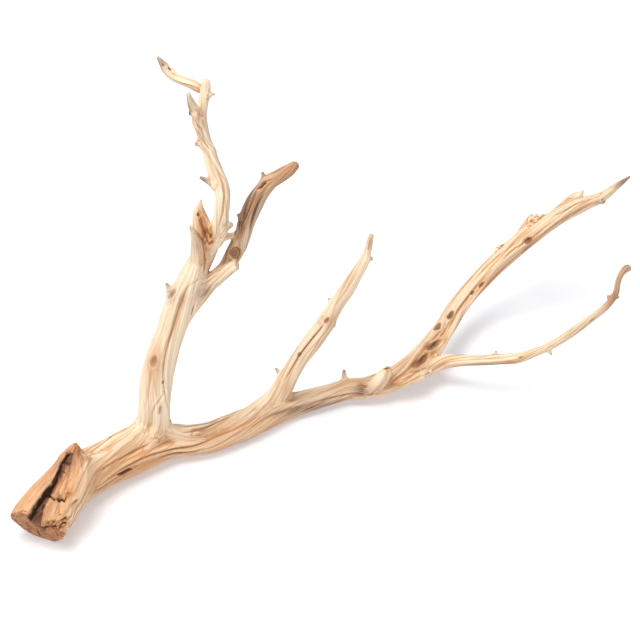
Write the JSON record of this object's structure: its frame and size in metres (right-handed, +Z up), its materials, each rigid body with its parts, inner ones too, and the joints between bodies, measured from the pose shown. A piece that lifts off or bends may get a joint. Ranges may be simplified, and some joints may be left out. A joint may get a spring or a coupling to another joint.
{
  "type": "driftwood branch",
  "caption": "Weathered, forked branch that lies on its stem, with a hollow sawn butt, rising arms, thin twigs, broken stubs and thorns.",
  "frame": {"origin": "on the ground, under the middle of the branch's bounding box", "axes": "+Z up, +X along the length from the sawn butt to the tip of the right arm, +Y towards the back"},
  "size_m": [0.5902, 0.3847, 0.4009],
  "materials": {
    "wood": "bare bleached wood, sand-worn and dry, with orange grain lines, dark checks and knots, red-brown heartwood at the butt"
  },
  "bodies": {
    "root": {"driftwood": "wood"}
  },
  "joints": []
}
